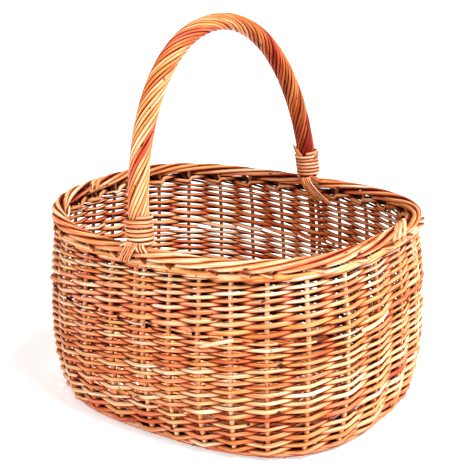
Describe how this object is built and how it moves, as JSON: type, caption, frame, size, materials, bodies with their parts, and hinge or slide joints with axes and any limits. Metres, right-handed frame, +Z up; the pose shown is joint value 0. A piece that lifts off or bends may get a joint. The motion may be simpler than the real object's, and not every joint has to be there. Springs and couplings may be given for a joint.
{
  "type": "woven market basket",
  "caption": "Oval woven willow market basket with a rolled border and a fixed roped bow handle, for carrying shopping.",
  "frame": {"origin": "centre of the basket's outline on the surface it stands on, under the middle of the base", "axes": "+Z up; X along the basket's length; Y across it, in the direction the bow handle spans"},
  "size_m": [0.4446, 0.3826, 0.4683],
  "materials": {
    "woven_willow": "satin varnished willow rods, honey to red-brown, woven",
    "border_willow": "satin varnished thicker willow rods, honey",
    "handle_willow": "satin varnished willow, roped, honey with cream streaks",
    "stick_willow": "satin willow sticks and stakes, red-brown"
  },
  "bodies": {
    "root": {"base_stick_long_1": "stick_willow", "base_stick_long_2": "stick_willow", "base_stick_long_3": "stick_willow", "base_stick_cross_1": "stick_willow", "base_stick_cross_2": "stick_willow", "base_stick_cross_3": "stick_willow", "base_stick_cross_4": "stick_willow", "base_stick_cross_5": "stick_willow", "base_weave": "woven_willow", "upsett_wale": "woven_willow", "siding_lower": "woven_willow", "siding_upper": "woven_willow", "top_wale": "border_willow", "border": "border_willow", "handle_bow": "handle_willow", "handle_roping": "handle_willow", "binding_near": "handle_willow", "binding_far": "handle_willow", "lashing_near": "handle_willow", "lashing_far": "handle_willow", "stake_01": "stick_willow", "stake_02": "stick_willow", "stake_03": "stick_willow", "stake_04": "stick_willow", "stake_05": "stick_willow", "stake_06": "stick_willow", "stake_07": "stick_willow", "stake_08": "stick_willow", "stake_09": "stick_willow", "stake_10": "stick_willow", "stake_11": "stick_willow", "stake_12": "stick_willow", "stake_13": "stick_willow", "stake_14": "stick_willow", "stake_15": "stick_willow", "stake_16": "stick_willow", "stake_17": "stick_willow", "stake_18": "stick_willow", "stake_19": "stick_willow", "stake_20": "stick_willow", "stake_21": "stick_willow", "stake_22": "stick_willow", "stake_23": "stick_willow", "stake_24": "stick_willow", "stake_25": "stick_willow", "stake_26": "stick_willow", "stake_27": "stick_willow", "stake_28": "stick_willow", "stake_29": "stick_willow", "stake_30": "stick_willow"}
  },
  "joints": []
}
